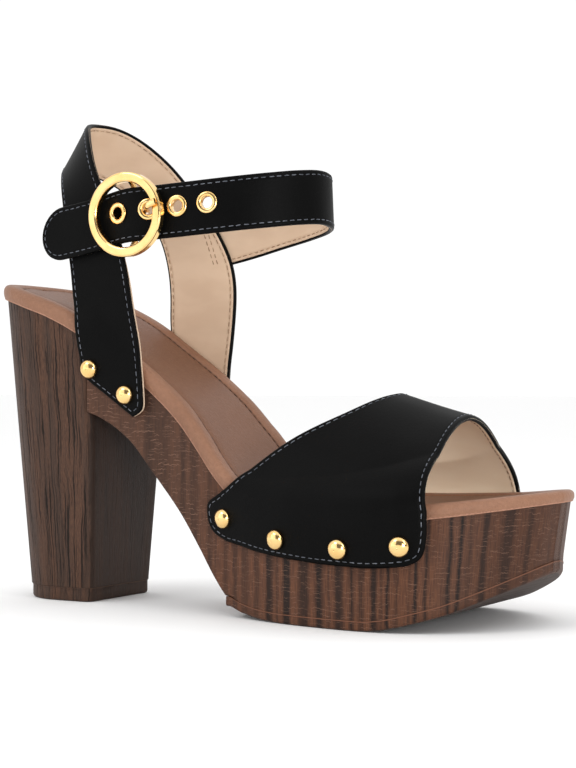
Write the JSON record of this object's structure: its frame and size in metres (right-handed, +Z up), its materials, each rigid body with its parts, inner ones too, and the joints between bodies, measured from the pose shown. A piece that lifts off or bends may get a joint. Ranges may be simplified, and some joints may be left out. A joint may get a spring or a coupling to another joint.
{
  "type": "platform sandal",
  "caption": "High heeled open-toe platform sandal for the right foot, with a vamp band, a heel sling and a buckled ankle strap on a wood-look sole.",
  "frame": {"origin": "middle of the heel's ground face, on the floor", "axes": "+X level towards the toe, +Y towards the inner side of the foot, +Z up"},
  "size_m": [0.228, 0.0944, 0.1811],
  "materials": {
    "sole_wood": "wood-look wrap, low sheen",
    "heel_wood": "wood-look wrap with deep upright grain",
    "sole_tread": "matt",
    "tan_leather": "smooth, soft sheen",
    "black_leather": "smooth, soft sheen",
    "gold_metal": "polished pale gold"
  },
  "bodies": {
    "root": {"platform": "sole_wood", "outsole": "sole_tread", "heel": "heel_wood", "heel_tip": "sole_tread", "insole": "tan_leather", "vamp": "black_leather", "ankle_upper": "black_leather", "buckle_frame": "gold_metal", "buckle_prong": "gold_metal", "buckle_tab": "black_leather", "eyelet_1": "gold_metal", "eyelet_2": "gold_metal", "eyelet_3": "gold_metal", "eyelet_4": "gold_metal", "stud_vamp_outer_1": "gold_metal", "stud_vamp_outer_2": "gold_metal", "stud_vamp_outer_3": "gold_metal", "stud_vamp_outer_4": "gold_metal", "stud_vamp_inner_1": "gold_metal", "stud_vamp_inner_2": "gold_metal", "stud_vamp_inner_3": "gold_metal", "stud_vamp_inner_4": "gold_metal", "stud_sling_outer_1": "gold_metal", "stud_sling_outer_2": "gold_metal", "stud_sling_inner_1": "gold_metal", "stud_sling_inner_2": "gold_metal"}
  },
  "joints": []
}
